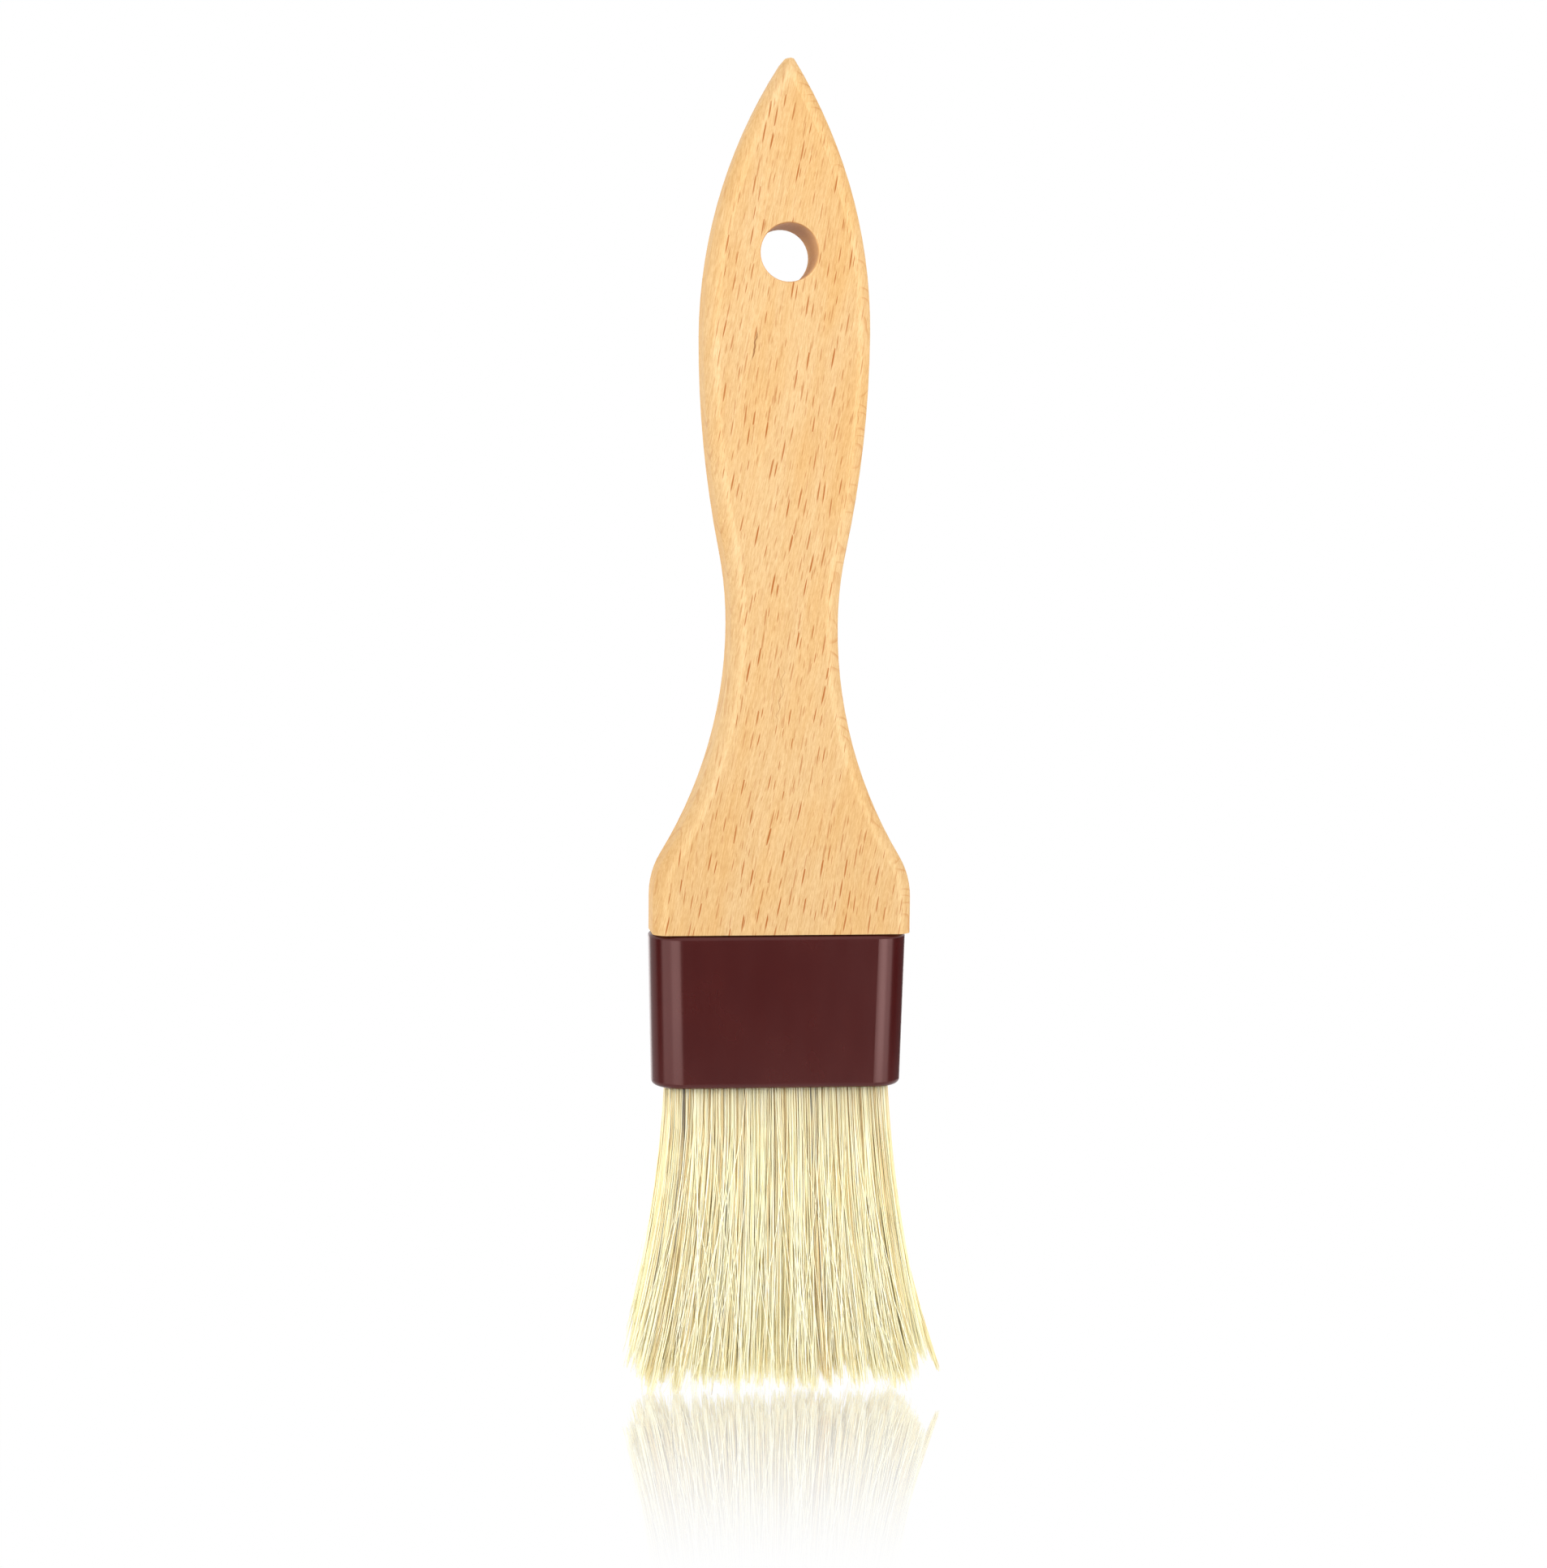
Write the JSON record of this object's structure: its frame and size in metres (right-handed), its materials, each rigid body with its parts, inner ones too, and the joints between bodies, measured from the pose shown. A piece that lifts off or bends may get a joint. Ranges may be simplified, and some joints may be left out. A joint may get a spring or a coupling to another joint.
{
  "type": "pastry brush",
  "caption": "Flat pastry brush: waisted beech handle with a pointed tip and hanging hole, moulded ferrule, and flexing natural bristle.",
  "frame": {"origin": "centre of the hanging hole, halfway through the handle's thickness", "axes": "+Z along the handle towards its tip, bristles to -Z; +X across the width; +Y through the thickness, front face at -Y"},
  "size_m": [0.0484, 0.0104, 0.1976],
  "materials": {
    "beech": "satin",
    "wood_glue": "satin",
    "maroon_plastic": "satin",
    "setting_resin": "satin",
    "plug_wood": "matte",
    "boar_bristle": "satin"
  },
  "bodies": {
    "brush": {"handle": "beech", "tenon_glue": "wood_glue", "ferrule": "maroon_plastic", "resin_setting": "setting_resin", "spacer_plug": "plug_wood"},
    "bristles": {"front_bristles": "boar_bristle", "rear_bristles": "boar_bristle"}
  },
  "joints": [
    {"name": "bristle_bend", "type": "hinge", "parent": "brush", "child": "bristles", "pos_m": [-0.0003, 0, -0.12272], "axis": [1, 0, 0], "range_deg": [-30, 30], "stiffness_Nm_per_rad": 0.12, "deforming": ["front_bristles", "rear_bristles"]}
  ]
}
